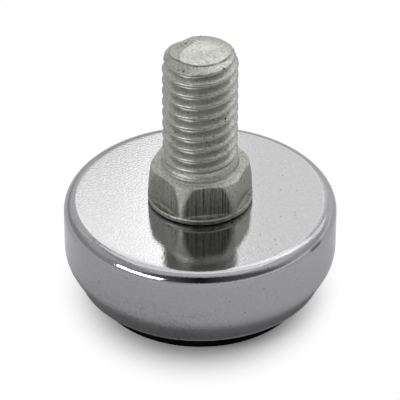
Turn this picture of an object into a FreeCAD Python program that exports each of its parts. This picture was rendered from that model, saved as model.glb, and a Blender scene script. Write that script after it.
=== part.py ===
# Adjustable cabinet leg: a threaded stud with a hex collar, riveted so that it can turn
# in a chromed steel cup, which stands on a black moulded pad.
# Millimetres, +Z up, origin on the floor at the centre of the pad.
import FreeCAD, Part

import math
import os

from FreeCAD import Vector

# Foot pad, the only piece that touches the floor
foot_mouth_clearance = 1.06
foot_edge_round = 0.2
pad_side_clearance = 0.1
pad_pocket_clearance = 0.5
pad_shelf_above_rim = 0.6

# Cup, drawn from steel sheet with its skirt turned in below the side wall
cup_radius = 17.45
cup_height = 11.1
cup_sheet = 1.0
cup_top_edge_radius = 1.8
cup_rim_height = 2.8
cup_rim_radius = 15.75
cup_rim_land = 0.2
cup_skirt_angle = 28.0
cup_bend_radius = 4.0

# Bearing of the stud in the hole of the cup
neck_radius = 4.0
neck_running_clearance = 0.06
flange_clearance = 0.1
washer_clearance = 0.12

# Washer and peened head that hold the stud in the cup
spigot_radius = 3.0
washer_past_flange = 0.32
washer_thickness = 1.2
washer_bore_clearance = 0.05
washer_edge_round = 0.2
rivet_head_radius = 4.6
rivet_head_height = 1.3
rivet_head_rim = 0.35

# Hex collar, forged on the stud: a round flange with six flats above it
collar_radius = 6.68
collar_height = 5.1
collar_edge_round = 0.35
flange_height = 0.85
across_flats = 11.8
collar_turn = 9.2
crown_height = 4.0
crown_inset = 0.42
collar_top_rise = 0.45
collar_ring_radius = 5.2

# Thread: 3/8 in, 16 turns to the inch, drawn here as the cylinder over its crests
thread_radius = 4.7625
thread_length = 16.15
run_out_radius = 5.0
run_out_height = 0.65
end_chamfer = 0.75
end_dish_depth = 0.2

# Slanting shear mark left on the cut end of the stud
shear_direction = 150.0
shear_offset = 1.6
shear_angle = 24.0

# Heights and radii that follow from the sizes above
washer_radius = collar_radius + washer_past_flange
cup_top = cup_rim_height + cup_height
cup_ceiling = cup_top - cup_sheet
flange_bottom = cup_top + flange_clearance
washer_top = cup_ceiling - washer_clearance
washer_bottom = washer_top - washer_thickness
rivet_head_bottom = washer_bottom - rivet_head_height
collar_rim = flange_bottom + collar_height
collar_top = collar_rim + collar_top_rise
stud_end = collar_top + thread_length


def point(radius, height):
    """A point of a profile, in the plane that is turned about the Z axis."""
    return Vector(radius, 0.0, height)


def line(start, end):
    return Part.LineSegment(start, end).toShape()


def arc(start, middle, end):
    return Part.Arc(start, middle, end).toShape()


def round_corner(start, end, centre):
    """A quarter turn or less from start to end about centre."""
    middle_way = ((start - centre) + (end - centre)).normalize()
    return arc(start, centre + middle_way * (start - centre).Length, end)


def dome(middle, edge):
    """A spherical arc from the axis out to edge, level where it crosses the axis."""
    rise = edge.z - middle.z
    sphere_radius = (edge.x**2 + rise**2) / (2.0 * abs(rise))
    half_way = edge.x / 2.0
    half_way_rise = sphere_radius - math.sqrt(sphere_radius**2 - half_way**2)
    return arc(middle, point(half_way, middle.z + math.copysign(half_way_rise, rise)), edge)


def turned(edges):
    """The solid made by turning a closed profile once about the Z axis."""
    profile = Part.Face(Part.Wire(edges))
    return profile.revolve(Vector(0, 0, 0), Vector(0, 0, 1), 360.0)


def cup_bend_centre():
    """Centre of the bend between the upright wall and the slanting skirt of the cup."""
    angle = math.radians(cup_skirt_angle)
    skirt_run = cup_radius - cup_bend_radius * (1.0 - math.cos(angle)) - cup_rim_radius
    height = (
        cup_rim_height
        + cup_rim_land
        + skirt_run / math.tan(angle)
        + cup_bend_radius * math.sin(angle)
    )
    return point(cup_radius - cup_bend_radius, height)


def skirt_radius(height, inset):
    """Radius of the slanting skirt at a height, a distance inset in from its outer face."""
    angle = math.radians(cup_skirt_angle)
    above_rim = height - cup_rim_height - cup_rim_land
    return cup_rim_radius + above_rim * math.tan(angle) - inset / math.cos(angle)


def cup_side_edges(inset, bottom):
    """The cup's side at a distance inset from its outer face, from the flat top down to bottom."""
    wall = cup_radius - inset
    corner_radius = cup_top_edge_radius - inset
    top = cup_top - inset
    bend = cup_bend_centre()
    bend_radius = cup_bend_radius - inset
    angle = math.radians(cup_skirt_angle)

    corner_centre = point(wall - corner_radius, top - corner_radius)
    corner_in = point(wall - corner_radius, top)
    corner_out = point(wall, top - corner_radius)
    bend_in = point(wall, bend.z)
    bend_out = bend + point(bend_radius * math.cos(angle), -bend_radius * math.sin(angle))
    skirt_end = point(skirt_radius(bottom, inset), bottom)
    edges = [
        round_corner(corner_in, corner_out, corner_centre),
        line(corner_out, bend_in),
        round_corner(bend_in, bend_out, bend),
        line(bend_out, skirt_end),
    ]
    return edges, corner_in, skirt_end


def make_cup():
    hole = neck_radius + neck_running_clearance
    outer, outer_top, outer_end = cup_side_edges(0.0, cup_rim_height + cup_rim_land)
    inner, inner_top, inner_end = cup_side_edges(cup_sheet, cup_rim_height)
    land_end = point(cup_rim_radius, cup_rim_height)
    edges = [line(point(hole, cup_top), outer_top)]
    edges += outer
    edges += [line(outer_end, land_end), line(land_end, inner_end)]
    edges += reversed(inner)
    edges += [
        line(inner_top, point(hole, cup_ceiling)),
        line(point(hole, cup_ceiling), point(hole, cup_top)),
    ]
    return turned(edges)


def make_base_pad():
    """The pad fills the cup up to its ceiling, and its foot comes out through the cup's mouth."""
    shelf = cup_rim_height + pad_shelf_above_rim
    inset = cup_sheet + pad_side_clearance
    foot_radius = skirt_radius(cup_rim_height, cup_sheet) - foot_mouth_clearance
    side, side_top, side_end = cup_side_edges(inset, shelf)
    # The top lies face to face with the cup, so the side is brought up to the ceiling
    pad_top = point(side_top.x, cup_ceiling)
    pocket_radius = washer_radius + pad_pocket_clearance
    pocket_floor = rivet_head_bottom - pad_pocket_clearance
    edges = [
        line(point(0, 0), point(foot_radius - foot_edge_round, 0)),
        round_corner(
            point(foot_radius - foot_edge_round, 0),
            point(foot_radius, foot_edge_round),
            point(foot_radius - foot_edge_round, foot_edge_round),
        ),
        line(point(foot_radius, foot_edge_round), point(foot_radius, shelf)),
        line(point(foot_radius, shelf), side_end),
    ]
    edges += reversed(side)
    edges += [
        line(side_top, pad_top),
        line(pad_top, point(pocket_radius, cup_ceiling)),
        line(point(pocket_radius, cup_ceiling), point(pocket_radius, pocket_floor)),
        line(point(pocket_radius, pocket_floor), point(0, pocket_floor)),
        line(point(0, pocket_floor), point(0, 0)),
    ]
    return turned(edges)


def make_retaining_washer():
    bore = spigot_radius + washer_bore_clearance
    ring = turned(
        [
            line(point(bore, washer_bottom), point(washer_radius, washer_bottom)),
            line(point(washer_radius, washer_bottom), point(washer_radius, washer_top)),
            line(point(washer_radius, washer_top), point(bore, washer_top)),
            line(point(bore, washer_top), point(bore, washer_bottom)),
        ]
    )
    outer_edges = [
        edge for edge in ring.Edges if edge.BoundBox.XMax > washer_radius - washer_edge_round
    ]
    rims = [edge for edge in outer_edges if edge.BoundBox.ZLength < washer_edge_round]
    return ring.makeFillet(washer_edge_round, rims)


def collar_flat_cutter():
    """What six flats leave of a round bar: everything outside a hexagonal prism."""
    ledge = flange_bottom + flange_height
    corner_distance = across_flats / 2.0 / math.cos(math.radians(30.0))
    corners = []
    for side in range(7):
        angle = math.radians(60.0 * side - 60.0 + collar_turn)
        corners.append(
            Vector(corner_distance * math.cos(angle), corner_distance * math.sin(angle), ledge)
        )
    hexagon = Part.Face(Part.makePolygon(corners))
    height = collar_top - ledge
    wide = 2.0 * max(collar_radius, corner_distance)
    outside = Part.makeCylinder(wide, height, Vector(0, 0, ledge))
    return outside.cut(hexagon.extrude(Vector(0, 0, height)))


def shear_cutter():
    """A block over the end of the stud whose slanting underside leaves the shear mark."""
    # Twice the stud's diameter, so that the block reaches past it on every side
    size = 4.0 * thread_radius
    block = Part.makeBox(size, size, size, Vector(0.0, -size / 2.0, 0.0))
    block.rotate(Vector(0, 0, 0), Vector(0, 1, 0), shear_angle)
    block.translate(Vector(shear_offset, 0, stud_end))
    block.rotate(Vector(0, 0, 0), Vector(0, 0, 1), shear_direction)
    return block


def stud_profile():
    """Half section of the stud, from the middle of its peened head up to its cut end."""
    head_rim = washer_bottom - rivet_head_rim
    end_radius = thread_radius - end_chamfer
    crown_start = collar_rim - crown_height
    # Radius of the arc that leaves the upright side and leans in by crown_inset at the rim
    crown_radius = (crown_inset**2 + crown_height**2) / (2.0 * crown_inset)
    crown_centre = point(collar_radius - crown_radius, crown_start)
    rim = point(collar_radius - crown_inset, collar_rim)
    run_out_top = point(thread_radius, collar_top + run_out_height)
    end_middle = point(0, stud_end - end_dish_depth)
    round_centre = point(collar_radius - collar_edge_round, flange_bottom + collar_edge_round)
    return [
        dome(point(0, rivet_head_bottom), point(rivet_head_radius, head_rim)),
        line(point(rivet_head_radius, head_rim), point(rivet_head_radius, washer_bottom)),
        line(point(rivet_head_radius, washer_bottom), point(spigot_radius, washer_bottom)),
        line(point(spigot_radius, washer_bottom), point(spigot_radius, washer_top)),
        line(point(spigot_radius, washer_top), point(neck_radius, washer_top)),
        line(point(neck_radius, washer_top), point(neck_radius, flange_bottom)),
        line(point(neck_radius, flange_bottom), point(round_centre.x, flange_bottom)),
        round_corner(
            point(round_centre.x, flange_bottom),
            point(collar_radius, round_centre.z),
            round_centre,
        ),
        line(point(collar_radius, round_centre.z), point(collar_radius, crown_start)),
        round_corner(point(collar_radius, crown_start), rim, crown_centre),
        line(rim, point(collar_ring_radius, collar_top)),
        line(point(collar_ring_radius, collar_top), point(run_out_radius, collar_top)),
        line(point(run_out_radius, collar_top), run_out_top),
        line(run_out_top, point(thread_radius, stud_end - end_chamfer)),
        line(point(thread_radius, stud_end - end_chamfer), point(end_radius, stud_end)),
        dome(end_middle, point(end_radius, stud_end)),
        line(end_middle, point(0, rivet_head_bottom)),
    ]


def make_threaded_stud():
    stud = turned(stud_profile())
    stud = stud.cut(collar_flat_cutter())
    return stud.cut(shear_cutter())


pieces = {
    "base_pad": make_base_pad(),
    "cup": make_cup(),
    "retaining_washer": make_retaining_washer(),
    "threaded_stud": make_threaded_stud(),
}

os.makedirs("parts", exist_ok=True)
for name, shape in pieces.items():
    shape.exportStep(os.path.join("parts", name + ".step"))
    box = shape.optimalBoundingBox()
    print(
        f"{name}: {len(shape.Solids)} solid, valid {shape.isValid()}, {shape.Volume:.1f} mm3,"
        f" x {box.XMin:.2f} to {box.XMax:.2f}, z {box.ZMin:.2f} to {box.ZMax:.2f}"
    )
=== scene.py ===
# %% [markdown]
# # Adjustable cabinet leg
#
# A levelling leg for furniture: a zinc plated stud with a rolled thread and a hex collar turns in a
# chromed steel cup, and the cup stands on a black moulded pad. The solids are packed already, so this
# script loads them as a fixed frame and gives them their looks: a real thread, rounded edges, plating,
# wear, and the light of a small product photograph.

# %% Load the frame
import math

import bpy
import numpy as np
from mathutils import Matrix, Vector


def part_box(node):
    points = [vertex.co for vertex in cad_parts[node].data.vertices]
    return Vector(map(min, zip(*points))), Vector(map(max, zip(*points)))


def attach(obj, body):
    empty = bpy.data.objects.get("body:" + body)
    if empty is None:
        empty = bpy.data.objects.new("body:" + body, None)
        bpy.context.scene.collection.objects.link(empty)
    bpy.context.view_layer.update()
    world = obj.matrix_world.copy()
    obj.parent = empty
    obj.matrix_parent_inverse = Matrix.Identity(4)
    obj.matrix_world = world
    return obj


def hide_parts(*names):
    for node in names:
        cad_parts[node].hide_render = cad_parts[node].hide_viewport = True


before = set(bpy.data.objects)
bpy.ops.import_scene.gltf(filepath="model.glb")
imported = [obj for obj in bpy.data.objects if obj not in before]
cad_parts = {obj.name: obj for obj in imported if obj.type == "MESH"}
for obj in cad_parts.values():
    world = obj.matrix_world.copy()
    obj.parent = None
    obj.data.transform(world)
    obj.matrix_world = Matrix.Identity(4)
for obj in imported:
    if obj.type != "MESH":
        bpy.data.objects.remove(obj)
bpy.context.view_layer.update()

# %% [markdown]
# ## Sizes
#
# The frame is in metres, and a piece this small is easier to think about in millimetres. The sizes that
# the frame's boxes can give are read from it, so that the looks stay on the solids. The rest are the
# driving sizes of the real piece.

# %% Sizes from the frame, in millimetres
MM = 0.001


def box_mm(node):
    """Lowest and highest corner of a CAD node, in millimetres."""
    low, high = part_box(node)
    return np.array(low) / MM, np.array(high) / MM


cup_low, cup_high = box_mm("cup")
pad_low, pad_high = box_mm("base_pad")
stud_low, stud_high = box_mm("threaded_stud")

cup_radius = (cup_high[1] - cup_low[1]) / 2
cup_top = cup_high[2]
cup_rim = cup_low[2]
pad_radius = (pad_high[1] - pad_low[1]) / 2
ceiling = pad_high[2]
head_bottom = stud_low[2]
stud_end = stud_high[2]
print(f"cup radius {cup_radius:.2f}, top {cup_top:.2f}, rim {cup_rim:.2f}, stud end {stud_end:.2f}")

# %% [markdown]
# ## Camera
#
# The camera is fitted to the photograph by perspective: the cup's top and rim are two circles, and the
# shape of their ellipses gives the height of the view. It looks down at about 36 degrees from a little
# over a foot away, through a long lens.

# %% Camera
camera_elevation = math.radians(35.65)
camera_distance = 365.0
camera_aim_height = 7.75
camera_pitch = math.radians(34.926)
camera_sideways = -0.02
camera_lens = 254.9

camera = bpy.data.objects.new("camera", bpy.data.cameras.new("camera"))
bpy.context.scene.collection.objects.link(camera)
camera.data.lens = camera_lens
camera.data.clip_start = 0.01
camera.data.clip_end = 20.0
camera.location = (
    camera_sideways * MM,
    -camera_distance * math.cos(camera_elevation) * MM,
    (camera_aim_height + camera_distance * math.sin(camera_elevation)) * MM,
)
camera.rotation_euler = (math.pi / 2 - camera_pitch, 0, 0)
bpy.context.scene.camera = camera
bpy.context.scene.view_settings.view_transform = "Standard"
print("camera at", [round(x / MM, 1) for x in camera.location], "mm")

# %% [markdown]
# ## Surfaces from arrays
#
# Every piece of this leg is round about one axis, so each is a grid of points: the rows run along its
# half section, and the columns go once round. Working the grid out as one numpy array is quick, leaves no
# seam, and lets the thread or the hexagon push the points in and out before the faces are made.

# %% Half sections with rounded corners
arc_step = math.radians(7.0)
small_arc_step = math.radians(16.0)


def unit(vector):
    return vector / np.linalg.norm(vector)


def corner_arc(before, corner, after, rounding):
    """Points of the arc that rounds a corner.

    The arc touches both runs at rounding / tan(half the angle between them) from the corner, and its centre
    is on their bisector, at rounding / sin(half the angle).
    """
    to_before = unit(before - corner)
    to_after = unit(after - corner)
    half = math.acos(np.clip(to_before @ to_after, -1, 1)) / 2
    if rounding == 0 or half > math.pi / 2 - 1e-3:
        return corner[None, :]
    reach = rounding / math.tan(half)
    centre = corner + unit(to_before + to_after) * rounding / math.sin(half)
    first = corner + to_before * reach - centre
    last = corner + to_after * reach - centre
    sweep = math.pi - 2 * half
    step = arc_step if rounding > 0.12 else small_arc_step
    share = np.linspace(0, 1, max(3, math.ceil(sweep / step) + 1))[:, None]
    return centre + (np.sin((1 - share) * sweep) * first + np.sin(share * sweep) * last) / math.sin(sweep)


def fill_in(points, spacing):
    """The same run of points, with each stretch longer than spacing divided into equal steps."""
    gaps = np.diff(points, axis=0)
    steps = np.maximum(1, np.ceil(np.linalg.norm(gaps, axis=1) / spacing)).astype(int)
    share = np.concatenate([np.arange(count) / count for count in steps])[:, None]
    filled = np.repeat(points[:-1], steps, axis=0) + share * np.repeat(gaps, steps, axis=0)
    return np.vstack([filled, points[-1:]])


def half_section(corners, spacing, ring=False):
    """A half section as (radius, height) points, from corners given as (radius, height, rounding)."""
    corners = np.array(corners, float)
    place = corners[:, :2]
    before = np.roll(place, 1, axis=0)
    after = np.roll(place, -1, axis=0)
    runs = [corner_arc(b, p, a, r) for b, p, a, r in zip(before, place, after, corners[:, 2])]
    if not ring:
        runs[0] = place[:1]
        runs[-1] = place[-1:]
    points = np.vstack(runs)
    if ring:
        return fill_in(np.vstack([points, points[:1]]), spacing)[:-1]
    return fill_in(points, spacing)


# %% Grids to meshes
def angles(columns):
    """The azimuth of each column, once round from +X."""
    return np.arange(columns) * 2 * math.pi / columns


def turned(section, columns):
    """A grid of points from a half section that is the same all round."""
    radius = np.repeat(section[:, :1], columns, axis=1)
    height = np.repeat(section[:, 1:], columns, axis=1)
    return radius, height


def closed_surface(name, radius, height, low_pole=None, high_pole=None):
    """A closed mesh from two grids, radius and height, whose columns go once round the axis.

    The rows run up the outside of the piece, so the faces point outwards. With heights for its two poles the
    grid ends in fans about them. Without them the last row joins the first, as on a ring.
    """
    rows, columns = radius.shape
    azimuth = angles(columns)
    points = np.stack([radius * np.cos(azimuth), radius * np.sin(azimuth), height], -1).reshape(-1, 3)
    index = np.arange(rows * columns).reshape(rows, columns)
    if low_pole is None:
        index = np.vstack([index, index[:1]])
    here = index[:-1]
    above = index[1:]
    quads = np.stack([here, np.roll(here, -1, 1), np.roll(above, -1, 1), above], -1).reshape(-1, 4)
    faces = quads.tolist()
    if low_pole is not None:
        low = np.full(columns, len(points))
        high = low + 1
        points = np.vstack([points, [[0, 0, low_pole], [0, 0, high_pole]]])
        faces += np.stack([low, np.roll(index[0], -1), index[0]], -1).tolist()
        faces += np.stack([index[-1], np.roll(index[-1], -1), high], -1).tolist()
    mesh = bpy.data.meshes.new(name)
    mesh.from_pydata((points * MM).tolist(), [], faces)
    mesh.shade_smooth()
    piece = bpy.data.objects.new(name, mesh)
    bpy.context.scene.collection.objects.link(piece)
    print(f"{name}: {rows} rows, {columns} columns, {len(faces)} faces")
    return piece


def paint(piece, name, values):
    """Puts one number per vertex on a piece, for its material to read. The poles take the last row's mean."""
    rest = len(piece.data.vertices) - values.size
    flat = np.concatenate([values.ravel(), np.full(rest, values[-1].mean())])
    layer = piece.data.attributes.new(name, "FLOAT", "POINT")
    layer.data.foreach_set("value", flat.astype(np.float32))


# %% [markdown]
# ## Cup
#
# The cup is drawn from flat sheet steel in a press, its edge rounded by the die, and its skirt is then
# rolled in under the wall to hold the pad. A half section with a generous bend at the top edge and a slow
# one above the skirt gives the two bands of reflection that make it read as polished metal.

# %% Cup
sheet = 1.0
cup_edge_rounding = 1.7
cup_hole = 4.06
rim_radius = 15.75
rim_land = 0.2
skirt_lean = math.tan(math.radians(28.0))
skirt_offset = math.cos(math.radians(28.0))
cup_bend_rounding = 4.0
cut_edge_rounding = 0.12


def skirt_corner(inset):
    """Where the skirt's line meets the wall's line, a distance inset in from the outer face."""
    wall = cup_radius - inset
    rise = (wall - rim_radius + inset / skirt_offset) / skirt_lean
    return (wall, cup_rim + rim_land + rise, cup_bend_rounding - inset)


def skirt_at(height, inset):
    """Radius of the skirt at a height, a distance inset in from its outer face."""
    return rim_radius + (height - cup_rim - rim_land) * skirt_lean - inset / skirt_offset


cup_section = half_section(
    [
        (rim_radius, cup_rim, cut_edge_rounding / 2),
        (rim_radius, cup_rim + rim_land, cut_edge_rounding),
        skirt_corner(0.0),
        (cup_radius, cup_top, cup_edge_rounding),
        (cup_hole, cup_top, cut_edge_rounding),
        (cup_hole, cup_top - sheet, cut_edge_rounding),
        (cup_radius - sheet, cup_top - sheet, cup_edge_rounding - sheet),
        skirt_corner(sheet),
        (skirt_at(cup_rim, sheet), cup_rim, cut_edge_rounding),
    ],
    spacing=0.4,
    ring=True,
)
cup = closed_surface("chromed_cup", *turned(cup_section, 256))
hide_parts("cup")
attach(cup, "base")

# %% [markdown]
# ## Foot pad
#
# The pad is moulded in one piece. It fills the cup, and its foot comes out through the cup's mouth, so
# that only plastic touches the floor. Its underside keeps the shallow ring and the small gate mark of its
# mould, which show when the leg lies on its side.

# %% Foot pad
foot_radius = 13.45
foot_rounding = 0.2
shelf = cup_rim + 0.6
side_gap = 0.1
side_inset = sheet + side_gap
pocket_radius = 7.5
pocket_floor = 9.78
ring_inner = 9.6
ring_outer = 10.4
ring_depth = 0.15
gate_radius = 1.2

pad_section = half_section(
    [
        (gate_radius / 2, ring_depth, 0.0),
        (gate_radius, ring_depth, 0.08),
        (gate_radius + ring_depth, 0.0, 0.08),
        (ring_inner, 0.0, 0.08),
        (ring_inner + ring_depth, ring_depth, 0.08),
        (ring_outer - ring_depth, ring_depth, 0.08),
        (ring_outer, 0.0, 0.08),
        (foot_radius, 0.0, foot_rounding),
        (foot_radius, shelf, 0.2),
        (skirt_at(shelf, side_inset), shelf, 0.2),
        skirt_corner(side_inset),
        (pad_radius, ceiling - side_gap, cup_edge_rounding - side_inset),
        (pad_radius - 0.7, ceiling, 0.0),
        (pocket_radius, ceiling, 0.2),
        (pocket_radius, pocket_floor, 0.3),
        (pocket_radius / 2, pocket_floor, 0.0),
    ],
    spacing=0.5,
)
pad = closed_surface("foot_pad", *turned(pad_section, 192), low_pole=ring_depth, high_pole=pocket_floor)
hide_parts("base_pad")
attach(pad, "base")

# %% [markdown]
# ## Thread
#
# The stud's thread is rolled between dies: 16 turns to the inch on a 3/8 in bar, with 60 degree flanks, a
# narrow flat crest and a rounded root. Seen as heights over the cylinder it is one wave that climbs a
# pitch with every turn to the right, so the depth below the crest depends only on how far a point lies
# from the nearest crest.

# %% Smooth joins
def smooth_min(a, b, blend):
    """The lower of two values, rounded off over blend where they cross."""
    share = np.clip(0.5 + 0.5 * (b - a) / blend, 0, 1)
    return b + (a - b) * share - blend * share * (1 - share)


def smooth_max(a, b, blend):
    return -smooth_min(-a, -b, blend)


def ease(value, start, end):
    """0 before start, 1 after end, and an S curve between."""
    share = np.clip((value - start) / (end - start), 0, 1)
    return share * share * (3 - 2 * share)


# %% Thread depth
thread_radius = 4.7625
pitch = 25.4 / 16
crest_height = 29.25
crest_flat = pitch / 8
groove_depth = 0.93
root_blend = 0.24
crest_blend = 0.06


def thread_depth(azimuth, height):
    """Depth of the groove below the crests, from the distance to the nearest crest along the axis."""
    turns = (height - crest_height) / pitch - azimuth / (2 * math.pi)
    off_crest = np.abs(turns - np.round(turns)) * pitch
    flank = (off_crest - crest_flat / 2) * math.tan(math.radians(60.0))
    return smooth_max(smooth_min(flank, groove_depth, root_blend), 0.0, crest_blend)


# %% [markdown]
# ## Stud
#
# The stud is one piece of cold-formed steel. Below the cup's top it has a neck, a spigot and a riveted
# head, above it a round flange, the hex collar that a spanner turns, and the thread. The hexagon is cut
# into a crowned round, so its corners keep a sliver of the round that widens upwards. All of it fits one
# grid, because no part overhangs another when the hidden end is drawn as steps.

# %% Stud sizes
neck_radius = 4.0
spigot_radius = 3.0
washer_top = 12.78
washer_bottom = 11.58
rivet_head_radius = 4.6
rivet_head_rim = 0.35
flange_bottom = cup_top + 0.1
flange_height = 0.85
collar_radius = 6.68
collar_height = 5.1
flange_rounding = 0.35
across_flats = 11.8
collar_turn = math.radians(9.2)
crown_height = 4.0
crown_inset = 0.42
collar_rise = 0.45
ring_radius = 5.2
run_out_radius = 5.0
run_out_height = 0.65
ledge_fillet = 0.2
hexagon_blend = 0.1

ledge = flange_bottom + flange_height
collar_rim = flange_bottom + collar_height
collar_top = collar_rim + collar_rise


def crown(height):
    """Radius of the collar's round side: upright below, then an arc that leans in towards the rim."""
    crown_radius = (crown_inset**2 + crown_height**2) / (2 * crown_inset)
    above = np.clip(height - (collar_rim - crown_height), 0, None)
    return collar_radius - crown_radius + np.sqrt(crown_radius**2 - above**2)


def hexagon(azimuth):
    """Distance of the nearest flat's plane, measured along each azimuth: the half width over the cosine."""
    sixth = math.pi / 3
    from_flat = (azimuth - collar_turn - math.pi / 2 + sixth / 2) % sixth - sixth / 2
    return across_flats / 2 / np.cos(from_flat)


# %% Stud's rows, from its riveted head to the top of its collar
hidden_section = half_section(
    [
        (1.2, head_bottom + 0.07, 0.0),
        (3.2, head_bottom + 0.42, 0.0),
        (rivet_head_radius, washer_bottom - rivet_head_rim, 0.1),
        (rivet_head_radius, washer_bottom, 0.05),
        (spigot_radius, washer_bottom, 0.05),
        (spigot_radius, washer_top, 0.05),
        (neck_radius, washer_top, 0.1),
        (neck_radius, flange_bottom, 0.1),
        (collar_radius, flange_bottom, flange_rounding),
        (collar_radius, ledge, 0.0),
    ],
    spacing=0.45,
)
fillet_heights = ledge + ledge_fillet * (1 - np.sqrt(1 - np.linspace(0, 1, 13)[1:]))
side_heights = np.linspace(ledge + ledge_fillet, collar_rim - 0.25, 34)[1:]
side_section = np.stack([crown(side_heights), side_heights], -1)
fillet_section = np.stack([crown(fillet_heights), fillet_heights], -1)
top_section = half_section(
    [
        side_section[-1].tolist() + [0.0],
        (collar_radius - crown_inset, collar_rim, 0.16),
        (5.66, collar_rim + 0.25, 0.05),
        (5.6, collar_rim + 0.24, 0.05),
        (5.3, collar_top - 0.06, 0.15),
        (run_out_radius, collar_top, 0.04),
        (run_out_radius - 0.1, collar_top + 0.22, 0.0),
    ],
    spacing=0.12,
)[1:]
collar_section = np.vstack([hidden_section, fillet_section, side_section, top_section])

# %% [markdown]
# ## Sheared end
#
# The bar was cropped to length, which left the end a little dished and rolled over at its back edge, and
# tore a slanting mark into one side of it. A wide chamfer, wider on the right, leads the thread in. The
# mark is part of a flat cone: it falls away beyond an arc, and fades out towards the back. The rows near
# the end are squeezed under the mark column by column, so that none of them folds.

# %% Sheared end
chamfer_start = 3.4
chamfer_offset = (0.05, 0.25)
chamfer_spread = (1.75, 0.65)
end_dish = 0.1
dish_reach = 2.5
shear_centre = (2.0, -1.52)
shear_reach = 4.6
shear_slope = math.tan(math.radians(13.0))
shear_from = math.radians(70.0)
shear_full = math.radians(135.0)
shear_lift = 0.1
roll_depth = 0.24
roll_from = 2.2
roll_reach = 1.9
roll_azimuth = math.radians(45.0)
shear_blend = 0.05
squeeze_from = stud_end - 2.4


def shear_height(x, y):
    """Height of the sheared mark: level inside its arc, falling outside it, lifted where it fades out."""
    azimuth = np.arctan2(y, x) % (2 * math.pi)
    beyond = np.hypot(x - shear_centre[0], y - shear_centre[1]) - shear_reach
    strength = ease(azimuth, shear_from, shear_full)
    fall = shear_slope * np.clip(beyond, 0, None) * strength
    return stud_end - 0.04 - fall + shear_lift * (1 - strength)


def end_height(x, y):
    """Height of the cut face: a shallow dish, rolled over towards the right and the back."""
    radius = np.hypot(x, y)
    dish = end_dish * (1 - np.clip(radius / dish_reach, 0, 1) ** 2) ** 2
    toward = 0.5 + 0.5 * np.cos(np.arctan2(y, x) - roll_azimuth)
    roll = roll_depth * np.clip((radius - roll_from) / roll_reach, 0, 1.2) ** 2
    return stud_end - dish - roll * toward


def stud_radius(azimuth, height):
    """Radius of the threaded length: the grooves fade out above the collar, and a cone cuts the end."""
    over_collar = height - collar_top
    base = thread_radius + (run_out_radius - thread_radius) * (1 - ease(over_collar, 0.15, run_out_height))
    grooved = base - thread_depth(azimuth, height) * ease(over_collar, 0.55, 2.2)
    start = chamfer_start + chamfer_offset[0] * np.cos(azimuth) + chamfer_offset[1] * np.sin(azimuth)
    spread = chamfer_spread[0] + chamfer_spread[1] * np.cos(azimuth)
    cone = start + spread * (stud_end - height)
    return smooth_min(grooved, cone, 0.06)


# %% Stud
stud_columns = 256
azimuth = angles(stud_columns)[None, :]

collar_r, collar_z = turned(collar_section, stud_columns)
flats = smooth_min(collar_r, hexagon(azimuth), hexagon_blend)
depth_share = np.clip((collar_z - ledge) / ledge_fillet, 0, 1)
collar_r = collar_r + (flats - collar_r) * (1 - (1 - depth_share) ** 2)

thread_rows = np.linspace(collar_top + 0.3, stud_end, 182)[:, None] + 0 * azimuth
edge_height = np.full_like(azimuth, stud_end)
for settle in range(40):
    edge_radius = stud_radius(azimuth, edge_height)
    edge_x = edge_radius * np.cos(azimuth)
    edge_y = edge_radius * np.sin(azimuth)
    wanted = np.minimum(end_height(edge_x, edge_y), shear_height(edge_x, edge_y))
    edge_height = 0.5 * (edge_height + wanted)
squeeze = (edge_height - squeeze_from) / (stud_end - squeeze_from)
thread_z = np.where(
    thread_rows > squeeze_from,
    squeeze_from + (thread_rows - squeeze_from) * squeeze,
    thread_rows,
)
thread_r = stud_radius(azimuth, thread_z)

face_share = np.concatenate([[0.985, 0.965], np.linspace(0.94, 0.03, 34)])[:, None]
face_r = face_share * thread_r[-1:]
face_x = face_r * np.cos(azimuth)
face_y = face_r * np.sin(azimuth)
face_z = smooth_min(end_height(face_x, face_y), shear_height(face_x, face_y), shear_blend)

stud_r = np.vstack([collar_r, thread_r, face_r])
stud_z = np.vstack([collar_z, thread_z, face_z])
stud = closed_surface("swivel_stud", stud_r, stud_z, low_pole=head_bottom, high_pole=float(face_z[-1].mean()))
print("stud triangles", 2 * stud_columns * len(stud_r))
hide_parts("threaded_stud")
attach(stud, "stud")

# %% [markdown]
# ## Marks on the stud
#
# Plating leaves the thread's roots duller than its crests, and handling leaves nicks on the crests and
# scratches on the flats. Sheltered places are also painted darker, partly for dirt and partly as painted
# shade. These follow the form, so they are painted on the vertices here, and the material only reads them.

# %% Nicks
nicks = [
    (-84.3, 33.40, 0.3),
    (-83.9, 31.84, 0.2),
    (-69.1, 31.94, 0.2),
    (-95.4, 30.20, 0.2),
    (-102.1, 28.57, 0.3),
    (-83.2, 27.26, 0.15),
    (-77.6, 27.19, 0.15),
    (-106.7, 27.15, 0.15),
    (-73.2, 34.72, 0.25),
    (-47.9, 35.20, 0.2),
    (-102.8, 22.07, 0.25),
    (-126.1, 14.6, 0.25),
    (-134.1, 18.27, 0.15),
    (-52.7, 14.2, 0.25),
    (62.0, 31.0, 0.3),
    (20.0, 25.5, 0.25),
    (170.0, 29.0, 0.3),
]
end_marks = [
    (-1.5, 2.8, 0.2),
    (-1.8, 2.2, 0.34),
    (-2.3, 1.7, 0.2),
    (-2.8, 1.2, 0.24),
    (-2.75, -3.2, 0.26),
    (-2.05, -3.55, 0.26),
    (-0.75, -3.3, 0.22),
    (-0.4, -3.35, 0.22),
]
nick_core = 0.2
nick_edge = 0.75
nick_stretch = 1.7


def nick_mask(radius, height):
    """1 in the middle of each nick and 0 outside it, by distance over the surface."""
    mask = np.zeros_like(radius)
    for nick_azimuth, nick_height, size in nicks:
        turn = (azimuth - math.radians(nick_azimuth) + math.pi) % (2 * math.pi) - math.pi
        distance = np.hypot(turn * radius / nick_stretch, height - nick_height)
        mask = np.maximum(mask, 1 - ease(distance, size * nick_core, size * nick_edge))
    return mask * (radius > 4.2)


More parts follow.
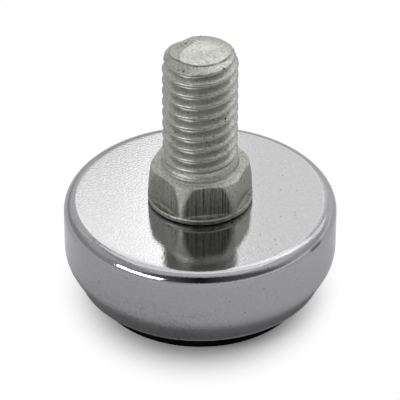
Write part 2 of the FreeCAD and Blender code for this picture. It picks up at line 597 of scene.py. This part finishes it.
stud_x = stud_r * np.cos(azimuth)
stud_y = stud_r * np.sin(azimuth)
nicked = nick_mask(stud_r, stud_z)
for mark_x, mark_y, size in end_marks:
    away = np.hypot(stud_x - mark_x, stud_y - mark_y)
    mark = 1 - ease(away, size * nick_core, size * nick_edge)
    nicked = np.maximum(nicked, mark * (stud_z > stud_end - 0.8))
paint(stud, "nick", nicked)
print("nicked vertices", int((nicked > 0.5).sum()))

# %% [markdown]
# A darker colour is painted where dirt gathers and where shade falls: in the roots of the thread, in the
# run-out, on the ledge over the flange, at the front of the flange, and along the two lines of the sheared
# end. It is partly dirt and partly painted shade. The painted value is how sheltered a place is.

# %% Painted shade, dirt and flats
# How dark each sheltered place is painted, for dirt and painted shade together.
root_shade_and_dirt = 0.7
run_out_shade_and_dirt = 0.55
ledge_shade_and_dirt = 0.95
flange_shade_and_dirt = 0.95
rim_shade_and_dirt = 0.95
side_flats = 0.5

threaded = ease(stud_z, collar_top + 0.5, collar_top + 1.2) * (stud_z < stud_end - 0.9)
shade_and_dirt = root_shade_and_dirt * np.clip((thread_radius - stud_r) / groove_depth, 0, 1) * threaded
run_out = ease(stud_z, collar_top - 0.3, collar_top) * (1 - ease(stud_z, collar_top + 0.5, collar_top + 1.3))
shade_and_dirt = np.maximum(shade_and_dirt, run_out_shade_and_dirt * run_out)

collar_rows = len(collar_section)
cut_depth = turned(collar_section, stud_columns)[0] - collar_r
on_ledge = (cut_depth > 0.03) * (collar_z > ledge - 0.05) * (1 - ease(collar_z, ledge + 0.05, ledge + 0.45))
shade_and_dirt[:collar_rows] = np.maximum(shade_and_dirt[:collar_rows], ledge_shade_and_dirt * on_ledge)

end_rows = len(face_share)
on_end = np.zeros_like(stud_r)
on_end[-end_rows:] = 1
past_arc = np.hypot(stud_x - shear_centre[0], stud_y - shear_centre[1]) - shear_reach
crease = (1 - ease(np.abs(past_arc), 0.03, 0.1)) * ease(azimuth, shear_from, shear_full) * on_end
rim_line = np.zeros_like(stud_r)
rim_line[-end_rows - 2 : -end_rows + 1] = np.clip(0.65 - 0.65 * np.sin(azimuth), 0, 1)
shade_and_dirt = np.maximum(shade_and_dirt, np.maximum(crease, rim_shade_and_dirt * rim_line))

on_flange = (stud_z < ledge - 0.02) * (stud_z > cup_top - 0.5)
at_front = np.clip(-1.6 * np.sin(azimuth) - 0.6, 0, 1)
shade_and_dirt = np.maximum(shade_and_dirt, flange_shade_and_dirt * at_front * on_flange)
paint(stud, "root", shade_and_dirt)

on_flat = np.zeros_like(stud_r)
on_flat[:collar_rows] = ease(cut_depth, 0.03, 0.12) * (collar_z > ledge + 0.1)
from_front = (azimuth - collar_turn + math.pi / 2 + math.pi) % (2 * math.pi) - math.pi
front_flat = 1 - ease(np.abs(from_front), 0.49, 0.56)
on_flat = on_flat * (side_flats + (1 - side_flats) * front_flat)
paint(stud, "flat", on_flat)
print("sheltered vertices", int((shade_and_dirt > 0.5).sum()), "on flats", int((on_flat > 0.5).sum()))

# %% [markdown]
# ## Fine effects
#
# Two effects are shared by the materials: a fine grain, which is height noise that can be drawn out along
# one axis, and specks, which are small round pits scattered at random. Each is a node group that puts out
# one value. The material decides what it does with it.

# %% Node helpers
def add(tree, kind, inputs=None, **settings):
    """Adds a node. An input that is given a socket is linked, and any other value is set on it."""
    made = tree.nodes.new(kind)
    for name, value in settings.items():
        setattr(made, name, value)
    for name, value in (inputs or {}).items():
        if isinstance(value, bpy.types.NodeSocket):
            tree.links.new(value, made.inputs[name])
        else:
            made.inputs[name].default_value = value
    return made


def math_node(tree, operation, first, second=0.0):
    return add(tree, "ShaderNodeMath", {0: first, 1: second}, operation=operation).outputs[0]


def ramp(tree, value, start, end, low=0.0, high=1.0, **settings):
    """low where value is at start, high where it is at end, straight between them and level beyond."""
    inputs = {"Value": value, "From Min": start, "From Max": end, "To Min": low, "To Max": high}
    return add(tree, "ShaderNodeMapRange", inputs, **settings).outputs[0]


def smooth_ramp(tree, value, start, end, low=0.0, high=1.0):
    """A ramp that leaves its start and meets its end on an S curve."""
    return ramp(tree, value, start, end, low, high, interpolation_type="SMOOTHSTEP")


def blend_value(tree, factor, low, high):
    """low where factor is 0, high where it is 1."""
    return ramp(tree, factor, 0.0, 1.0, low, high)


def blend_colour(tree, factor, first, second):
    """The first colour where factor is 0, the second where it is 1."""
    return add(tree, "ShaderNodeMix", {0: factor, 6: first, 7: second}, data_type="RGBA").outputs[2]


def new_group(name, inputs, output):
    """A node group with named inputs, given as (name, kind, value), and one value as its output."""
    group = bpy.data.node_groups.new(name, "ShaderNodeTree")
    for label, kind, value in inputs:
        made = group.interface.new_socket(label, in_out="INPUT", socket_type=kind)
        made.default_value = value
    group.interface.new_socket(output, in_out="OUTPUT", socket_type="NodeSocketFloat")
    return group, group.nodes.new("NodeGroupInput"), group.nodes.new("NodeGroupOutput")


# %% Grain and specks
grain, grain_in, grain_out = new_group(
    "grain",
    [("Vector", "NodeSocketVector", (0, 0, 0)), ("Per metre", "NodeSocketVector", (3000, 3000, 3000))],
    "Height",
)
stretch = {0: grain_in.outputs[0], 1: grain_in.outputs[1]}
scaled = add(grain, "ShaderNodeVectorMath", stretch, operation="MULTIPLY").outputs[0]
noise = add(grain, "ShaderNodeTexNoise", {"Vector": scaled, "Scale": 1.0, "Detail": 2.0})
grain.links.new(noise.outputs[0], grain_out.inputs[0])

specks, specks_in, specks_out = new_group(
    "specks",
    [
        ("Vector", "NodeSocketVector", (0, 0, 0)),
        ("Per metre", "NodeSocketFloat", 800.0),
        ("Size", "NodeSocketFloat", 0.12),
        ("Share", "NodeSocketFloat", 0.3),
    ],
    "Mask",
)
cells = add(specks, "ShaderNodeTexVoronoi", {"Vector": specks_in.outputs[0], "Scale": specks_in.outputs[1]})
inside = math_node(specks, "LESS_THAN", cells.outputs["Distance"], specks_in.outputs[2])
pick = add(specks, "ShaderNodeSeparateColor", {0: cells.outputs["Color"]})
chosen = math_node(specks, "LESS_THAN", pick.outputs[0], specks_in.outputs[3])
specks.links.new(math_node(specks, "MULTIPLY", inside, chosen), specks_out.inputs[0])
print("groups", [group.name for group in bpy.data.node_groups])


def use_group(tree, group, inputs):
    return add(tree, "ShaderNodeGroup", inputs, node_tree=group).outputs[0]


def even_grain(tree, place, per_metre):
    """Grain that is as coarse in all directions."""
    return use_group(tree, grain, {"Vector": place, "Per metre": (per_metre,) * 3})


# %% [markdown]
# ## Chrome
#
# The cup's plating is bright but not a perfect mirror. The drawn steel under it keeps a fine orange peel,
# which frays the edge of every reflection, and it looks frostier on the left. So the metal has a low
# roughness that drifts from place to place, and two sizes of very shallow bump, the finer one stronger
# at the left.

# %% Start of a metal
def new_metal(name, base, roughness):
    """A metal material: its tree, its shader, and a socket with the piece's own coordinates."""
    material = bpy.data.materials.new(name)
    material.use_nodes = True
    tree = material.node_tree
    shader = tree.nodes["Principled BSDF"]
    shader.inputs["Base Color"].default_value = (*base, 1)
    shader.inputs["Metallic"].default_value = 1.0
    shader.inputs["Roughness"].default_value = roughness
    place = add(tree, "ShaderNodeTexCoord").outputs["Object"]
    return material, tree, shader, place


def bump(tree, height, distance, normal=None):
    """A bump of that depth in metres."""
    inputs = {"Height": height, "Distance": distance, "Strength": 1.0}
    if normal is not None:
        inputs["Normal"] = normal
    return add(tree, "ShaderNodeBump", inputs).outputs[0]


def link(tree, socket, shader, name):
    tree.links.new(socket, shader.inputs[name])


# %% Chrome plate
chrome_colour = (0.42, 0.42, 0.43)
chrome_low = (0.375, 0.375, 0.385)
chrome_high = (0.465, 0.465, 0.475)
grit_spread = (-0.2, 1.2)
chrome_roughness = (0.04, 0.1)
peel_depth = 0.0018 * MM
fine_depth = 0.0075 * MM
frost_sideways = (2.0 * MM, -9.0 * MM)
frost_gain = (1.0, 1.4)

chrome, tree, shader, place = new_metal("chrome plate", chrome_colour, 0.06)
part_of = add(tree, "ShaderNodeSeparateXYZ", {0: place}).outputs
grit = even_grain(tree, place, 4200)
colour = blend_colour(tree, blend_value(tree, grit, *grit_spread), (*chrome_low, 1), (*chrome_high, 1))
link(tree, blend_value(tree, even_grain(tree, place, 160), *chrome_roughness), shader, "Roughness")
peel_bump = bump(tree, even_grain(tree, place, 900), peel_depth)
frost = ramp(tree, part_of["X"], *frost_sideways, *frost_gain)
frosted = math_node(tree, "MULTIPLY", even_grain(tree, place, 3600), frost)
link(tree, bump(tree, frosted, fine_depth, peel_bump), shader, "Normal")
cup.data.materials.append(chrome)
print("chrome plate:", len(tree.nodes), "nodes")

# %% [markdown]
# The plating also shows its use: pin holes, more of them on the right, a faint smear of dirt low on the
# left of the wall, and one short scuff on the rounded edge at the right. Each is a mask between 0 and 1
# that darkens the colour. Grain breaks up the smear, and the scuff is a window in azimuth times a window
# in height.

# %% Wear on the chrome
pit_colour = (0.16, 0.16, 0.15)
pit_sideways = (1.0 * MM, 8.0 * MM)
pit_share = (0.12, 0.7)
smear_colour = (0.25, 0.25, 0.24)
smear_sideways = (6.0 * MM, -3.0 * MM)
smear_heights = (9.6 * MM, 6.0 * MM)
smear_grain = (0.45, 0.68)
smear_strength = (0.05, 0.8)
scuff_azimuth = math.radians(-33.0)
scuff_length = math.radians(5.5)
scuff_length_core = 0.5
scuff_height = 12.9 * MM
scuff_width = 0.3 * MM
scuff_width_core = 0.3


def window(tree, value, middle, reach, core):
    """1 near a middle value and 0 past its reach. The slope starts at the core's share of the reach."""
    away = math_node(tree, "ABSOLUTE", math_node(tree, "SUBTRACT", value, middle))
    return ramp(tree, away, reach, core * reach)


share = ramp(tree, part_of["X"], *pit_sideways, *pit_share)
pits = use_group(tree, specks, {"Vector": place, "Per metre": 1100.0, "Size": 0.1, "Share": share})
to_left = ramp(tree, part_of["X"], *smear_sideways)
low_left = math_node(tree, "MULTIPLY", to_left, ramp(tree, part_of["Z"], *smear_heights))
broken = ramp(tree, even_grain(tree, place, 2600), *smear_grain)
smear = math_node(tree, "MULTIPLY", broken, blend_value(tree, low_left, *smear_strength))
round_axis = math_node(tree, "ARCTAN2", part_of["Y"], part_of["X"])
along_scuff = window(tree, round_axis, scuff_azimuth, scuff_length, scuff_length_core)
across_scuff = window(tree, part_of["Z"], scuff_height, scuff_width, scuff_width_core)
scuff = math_node(tree, "MULTIPLY", along_scuff, across_scuff)
colour = blend_colour(tree, smear, colour, (*smear_colour, 1))
colour = blend_colour(tree, math_node(tree, "MAXIMUM", pits, scuff), colour, (*pit_colour, 1))
link(tree, colour, shader, "Base Color")
print("chrome plate with wear:", len(tree.nodes), "nodes")

# %% [markdown]
# ## Zinc
#
# Zinc plating is duller than chrome and slightly green or yellow. Its crests are burnished, its roots hold
# dirt and are painted darker for the shade in them, and the flats of the collar show the upright scratches
# of the tool that pressed them. The painted values say where each of these lies, and the grain breaks them
# up.

# %% Zinc plate
zinc_colour = (0.53, 0.535, 0.495)
zinc_shade = (0.27, 0.275, 0.24)
# One dark colour for dirt and painted shade in sheltered places, and for the scratches on the flats.
dirt_and_shade_colour = (0.13, 0.13, 0.11)
nick_colour = (0.035, 0.035, 0.03)
speckle_spread = (-0.9, 1.5)
shade_and_dirt_spread = (0.1, 1.7)
scratch_spread = (-4.2, 5.0)
scratch_tone = 0.48

zinc, tree, shader, place = new_metal("zinc plate", zinc_colour, 0.33)
root = add(tree, "ShaderNodeAttribute", attribute_name="root").outputs["Fac"]
flat = add(tree, "ShaderNodeAttribute", attribute_name="flat").outputs["Fac"]
nick = add(tree, "ShaderNodeAttribute", attribute_name="nick").outputs["Fac"]
blotch = even_grain(tree, place, 1100)
fine = even_grain(tree, place, 3600)
streak = use_group(tree, grain, {"Vector": place, "Per metre": (7000, 7000, 120)})
stain = use_group(tree, specks, {"Vector": place, "Per metre": 1300.0, "Size": 0.14, "Share": 0.14})

# Painted shade and dirt: sheltered places darken towards the dark colour, broken up by blotches.
patchy = blend_value(tree, blotch, *shade_and_dirt_spread)
shade_and_dirt_mask = math_node(tree, "MULTIPLY", math_node(tree, "POWER", root, 3.0), patchy)
scored = math_node(tree, "MULTIPLY", flat, blend_value(tree, streak, *scratch_spread))
speckle = blend_value(tree, fine, *speckle_spread)
colour = blend_colour(tree, speckle, (*zinc_colour, 1), (*zinc_shade, 1))
colour = blend_colour(tree, math_node(tree, "MULTIPLY", scored, scratch_tone), colour, (*dirt_and_shade_colour, 1))
colour = blend_colour(tree, shade_and_dirt_mask, colour, (*dirt_and_shade_colour, 1))
colour = blend_colour(tree, math_node(tree, "MAXIMUM", nick, stain), colour, (*nick_colour, 1))
link(tree, colour, shader, "Base Color")
stud.data.materials.append(zinc)
print("zinc plate:", len(tree.nodes), "nodes")

# %% [markdown]
# The rolled thread is the smoothest part of the stud, because the dies press it under load. The collar
# keeps the rougher skin of the forging, and its flats lie between the two.

# %% Zinc finish
collar_roughness = 0.5
thread_roughness = (0.31, 0.46)
flat_roughness = 0.36
plating_metallic = (0.95, 0.83)
flat_metallic = 0.96
rolled_heights = ((collar_top + 0.2) * MM, (collar_top + 1.4) * MM)
grain_depth = 0.014 * MM
scratch_depth = 0.06 * MM

height = add(tree, "ShaderNodeSeparateXYZ", {0: place}).outputs["Z"]
on_thread = ramp(tree, height, *rolled_heights)
skin = blend_value(tree, on_thread, collar_roughness, blend_value(tree, root, *thread_roughness))
link(tree, blend_value(tree, flat, skin, flat_roughness), shader, "Roughness")
metallic = blend_value(tree, flat, blend_value(tree, speckle, *plating_metallic), flat_metallic)
link(tree, metallic, shader, "Metallic")
grain_bump = bump(tree, fine, grain_depth)
scratch_bump = bump(tree, math_node(tree, "MULTIPLY", streak, flat), scratch_depth, grain_bump)
link(tree, bump(tree, blotch, grain_depth, scratch_bump), shader, "Normal")
print("zinc plate with finish:", len(tree.nodes), "nodes")

# %% [markdown]
# ## Pad plastic and washer steel
#
# The pad is black plastic that takes a fine sparkle from its mould. The washer is out of sight between
# the cup and the riveted head, and is plain stamped steel with a grain along one direction.

# %% Pad plastic
plastic, tree, shader, place = new_metal("black pad plastic", (0.012, 0.012, 0.013), 0.55)
shader.inputs["Metallic"].default_value = 0.0
shader.inputs["Specular IOR Level"].default_value = 0.05
rubbed = even_grain(tree, place, 500)
black = blend_colour(tree, rubbed, (0.0015, 0.0015, 0.002, 1), (0.005, 0.005, 0.005, 1))
link(tree, black, shader, "Base Color")
link(tree, blend_value(tree, rubbed, 0.7, 0.9), shader, "Roughness")
link(tree, bump(tree, even_grain(tree, place, 5000), 0.02 * MM), shader, "Normal")
pad.data.materials.append(plastic)
print("pad plastic:", len(tree.nodes), "nodes")

# %% Washer steel
steel, tree, shader, place = new_metal("stamped steel", (0.5, 0.5, 0.48), 0.35)
stamped = use_group(tree, grain, {"Vector": place, "Per metre": (300, 5000, 300)})
link(tree, blend_colour(tree, stamped, (0.42, 0.42, 0.4, 1), (0.56, 0.56, 0.54, 1)), shader, "Base Color")
link(tree, blend_value(tree, stamped, 0.28, 0.45), shader, "Roughness")
link(tree, bump(tree, stamped, 0.01 * MM), shader, "Normal")
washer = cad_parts["retaining_washer"]
washer.data.materials.clear()
washer.data.materials.append(steel)
print("materials", [material.name for material in bpy.data.materials])

# %% [markdown]
# ## Floor
#
# A product photograph of this kind stands on white paper. Near the leg the floor is a diffuse surface, so
# that it takes the contact shadow. Further out it turns into plain white, so that a low view has no dark
# horizon. The camera sees white paper, and the metal sees it a little darker, as it would in a studio
# that is not all white.

# %% Floor
floor_size = 3.0
floor_gap = 0.02 * MM

floor_mesh = bpy.data.meshes.new("floor")
floor_corners = np.array([(-1, -1, 0), (1, -1, 0), (1, 1, 0), (-1, 1, 0)]) * floor_size - (0, 0, floor_gap)
floor_mesh.from_pydata(floor_corners.tolist(), [], [(0, 1, 2, 3)])
floor = bpy.data.objects.new("floor", floor_mesh)
bpy.context.scene.collection.objects.link(floor)
print("floor", 2 * floor_size, "m wide")

# %% Where the paper fades to plain white
# For the camera the fade starts right at the pad, so it paints the contact shadow lighter and tighter.
fade_seen = (0.0126, 0.0222)
fade_in_metal = (0.045, 0.16)
wider_sideways = (1.17, 1.0, 1.0)
seen_shift = 0.0003

paper = bpy.data.materials.new("white paper")
paper.use_nodes = True
tree = paper.node_tree
tree.nodes.clear()
rays = add(tree, "ShaderNodeLightPath").outputs
seen = math_node(tree, "MAXIMUM", rays["Is Camera Ray"], rays["Is Transmission Ray"])
place = add(tree, "ShaderNodeTexCoord").outputs["Object"]
oval = {0: place, 1: wider_sideways, 2: (seen_shift, 0, 0)}
stretched = add(tree, "ShaderNodeVectorMath", oval, operation="MULTIPLY_ADD").outputs[0]
away = add(tree, "ShaderNodeVectorMath", {0: stretched}, operation="LENGTH").outputs["Value"]
fade_start = blend_value(tree, seen, fade_in_metal[0], fade_seen[0])
fade_end = blend_value(tree, seen, fade_in_metal[1], fade_seen[1])
far = smooth_ramp(tree, away, fade_start, fade_end)
print("paper seen from", fade_seen, "m, in the metal from", fade_in_metal, "m")

# %% [markdown]
# The paper's tone carries painted shadow and painted light. A painted shadow makes it darkest in the gap
# under the cup, both for the camera and in the metal. Painted light makes the metal see the right side a
# little lighter than the left, and painted shade makes it see the far right a little darker.

# %% Tones of the paper
paper_white = (0.97, 0.97, 0.97, 1)
paper_in_metal = (0.73, 0.73, 0.74, 1)
paper_fill = 0.02
# Painted shadow near the pad, for the camera and in the metal, and painted light across the metal's view.
contact = (0.0122, 0.0144)
contact_shadow_tone = 0.66
contact_shadow_shift = (-0.0034, 0, 0)
pad_shadow = (0.0146, 0.0212)
pad_shadow_tone = 0.55
pad_shadow_shift = (0.0013, 0.0004, 0)
left_painted_light = 1.08
right_painted_light = 1.2
painted_light_reach = 0.03
far_right = (0.03, 0.2)
far_right_painted_shade = 0.85


def near_pad(shift, reach, tone):
    """A painted shadow close to the pad: a tone that rises to 1 at a distance, round a centre that is shifted
    a little.
    """
    shifted = add(tree, "ShaderNodeVectorMath", {0: place, 1: shift}, operation="ADD").outputs[0]
    from_pad = add(tree, "ShaderNodeVectorMath", {0: shifted}, operation="LENGTH").outputs["Value"]
    return smooth_ramp(tree, from_pad, *reach, tone)


def scaled_colour(colour, factor):
    return add(tree, "ShaderNodeVectorMath", {0: colour[:3], "Scale": factor}, operation="SCALE").outputs[0]


sideways = add(tree, "ShaderNodeSeparateXYZ", {0: place}).outputs["X"]
across = ramp(tree, sideways, -painted_light_reach, painted_light_reach, left_painted_light, right_painted_light)
painted_light_and_shadow = math_node(tree, "MULTIPLY", across, near_pad(pad_shadow_shift, pad_shadow, pad_shadow_tone))
tone_in_metal = scaled_colour(paper_in_metal, painted_light_and_shadow)
tone_seen = scaled_colour(paper_white, near_pad(contact_shadow_shift, contact, contact_shadow_tone))
tone = blend_colour(tree, seen, tone_in_metal, tone_seen)
far_painted_shade = smooth_ramp(tree, sideways, *far_right, 1.0, far_right_painted_shade)
far_in_metal = scaled_colour(paper_in_metal, far_painted_shade)

near_paper = add(tree, "ShaderNodeBsdfDiffuse", {"Color": tone})
fill_strength = math_node(tree, "MULTIPLY", seen, paper_fill)
fill = add(tree, "ShaderNodeEmission", {"Color": tone, "Strength": fill_strength})
near = add(tree, "ShaderNodeAddShader", {0: near_paper.outputs[0], 1: fill.outputs[0]})
white = add(tree, "ShaderNodeEmission", {"Color": blend_colour(tree, seen, far_in_metal, (1, 1, 1, 1))})
floor_shader = add(tree, "ShaderNodeMixShader", {0: far, 1: near.outputs[0], 2: white.outputs[0]})
add(tree, "ShaderNodeOutputMaterial", {"Surface": floor_shader.outputs[0]})
floor.data.materials.append(paper)
print("white paper:", len(tree.nodes), "nodes")

# %% [markdown]
# ## Studio light
#
# Chrome shows its surroundings and nothing else, so the light is a set of soft panels placed where the
# photograph's reflections say they were. Two bright ones stand side by side behind the leg, and two weaker
# ones carry on from them to the right. Others hang above and to the sides, and a bright window stands at
# the left of the camera. A panel's power is its radiance times pi times its area, so the values below are
# how bright it looks.

# %% Panels
panel_distance = 0.8


def panel(name, azimuth_deg, elevation_deg, width_deg, height_deg, radiance, colour=(1, 1, 1)):
    """A soft panel that faces the leg. Azimuth 0 is behind the leg, 90 to its right, 180 at the camera."""
    turn = math.radians(azimuth_deg)
    rise = math.radians(elevation_deg)
    light = bpy.data.lights.new(name, "AREA")
    light.shape = "RECTANGLE"
    light.size = 2 * panel_distance * math.tan(math.radians(width_deg) / 2)
    light.size_y = 2 * panel_distance * math.tan(math.radians(height_deg) / 2)
    light.energy = radiance * math.pi * light.size * light.size_y
    light.color = colour
    made = bpy.data.objects.new(name, light)
    bpy.context.scene.collection.objects.link(made)
    made.location = (
        panel_distance * math.cos(rise) * math.sin(turn),
        panel_distance * math.cos(rise) * math.cos(turn),
        panel_distance * math.sin(rise),
    )
    made.rotation_euler = (math.pi / 2 - rise, 0, math.pi - turn)
    made.visible_camera = False
    return made


panel("back left", -6.4, 42.6, 11.2, 19, 0.93, (1.0, 1.0, 0.97))
panel("back left glow", -5.2, 37.2, 7.8, 3.6, 0.34, (1.0, 1.0, 0.985))
panel("back right", 4.1, 38, 9.8, 24, 0.67, (1.0, 1.0, 0.96))
panel("back right soft", 14.5, 35, 11, 24, 0.38, (1.0, 1.0, 0.98))
panel("back right end", 24, 31, 8, 24, 0.14)
panel("left fill", -31, 32, 38, 28, 0.24)
panel("left high", -74, 39, 42, 24, 0.18)
panel("high back", 0, 69, 50, 30, 0.72, (0.97, 0.97, 1.0))
panel("overhead", 180, 82, 50, 40, 0.21, (0.97, 0.97, 1.0))
panel("right high", 30, 53, 36, 13, 0.85, (0.96, 0.96, 1.0))
panel("right corner", 46, 39, 18, 16, 0.62, (0.96, 0.96, 1.0))
panel("window", -131, 22, 36, 16, 6.0)

# %% [markdown]
# The rest of the room is a grey tent that is lighter on the right. The camera's own side of it is dark
# above the horizon, which draws the dark line along the cup's rounded edge, and a band at the far right
# is a little dimmer. All of it depends on the direction alone, and the camera itself sees white.

# %% Surroundings
tent_left = 0.45
tent_right = 0.92
tent_reach = 0.8
dark_middle = 0.02
dark_sides = 0.15
dark_turn = (0.05, 0.5)
dark_full = -0.54
dark_from_left = -0.38
dark_from_right = -0.07
dark_above = (0.12, 0.34)
right_dark = 0.36
band_rise = (0.16, 0.34)
band_fall = (0.8, 0.64)
band_from = (0.62, 0.84)

world = bpy.data.worlds.new("studio")
world.use_nodes = True
bpy.context.scene.world = world
tree = world.node_tree
rays = add(tree, "ShaderNodeLightPath").outputs
seen = math_node(tree, "MAXIMUM", rays["Is Camera Ray"], rays["Is Transmission Ray"])
towards = add(tree, "ShaderNodeTexCoord").outputs["Generated"]
direction = add(tree, "ShaderNodeSeparateXYZ", {0: towards}).outputs

across = ramp(tree, direction["X"], -tent_reach, tent_reach)
off_middle = math_node(tree, "ABSOLUTE", direction["X"])
dark_strength = ramp(tree, off_middle, *dark_turn, dark_middle, dark_sides)
dark_start = blend_value(tree, across, dark_from_left, dark_from_right)
in_front = smooth_ramp(tree, direction["Y"], dark_start, dark_full)
dark = math_node(tree, "MULTIPLY", in_front, smooth_ramp(tree, direction["Z"], *dark_above))
over_band = smooth_ramp(tree, direction["Z"], *band_rise)
under_band = smooth_ramp(tree, direction["Z"], *band_fall)
to_right = smooth_ramp(tree, direction["X"], *band_from, 0.0, right_dark)
band = math_node(tree, "MULTIPLY", math_node(tree, "MULTIPLY", over_band, under_band), to_right)
tent = blend_value(tree, across, tent_left, tent_right)
tent = blend_value(tree, dark, blend_value(tree, band, tent, 0.0), dark_strength)
background = tree.nodes["Background"]
background.inputs["Color"].default_value = (1, 1, 1, 1)
tree.links.new(blend_value(tree, seen, tent, 1.0), background.inputs["Strength"])
print("surroundings:", len(tree.nodes), "nodes")
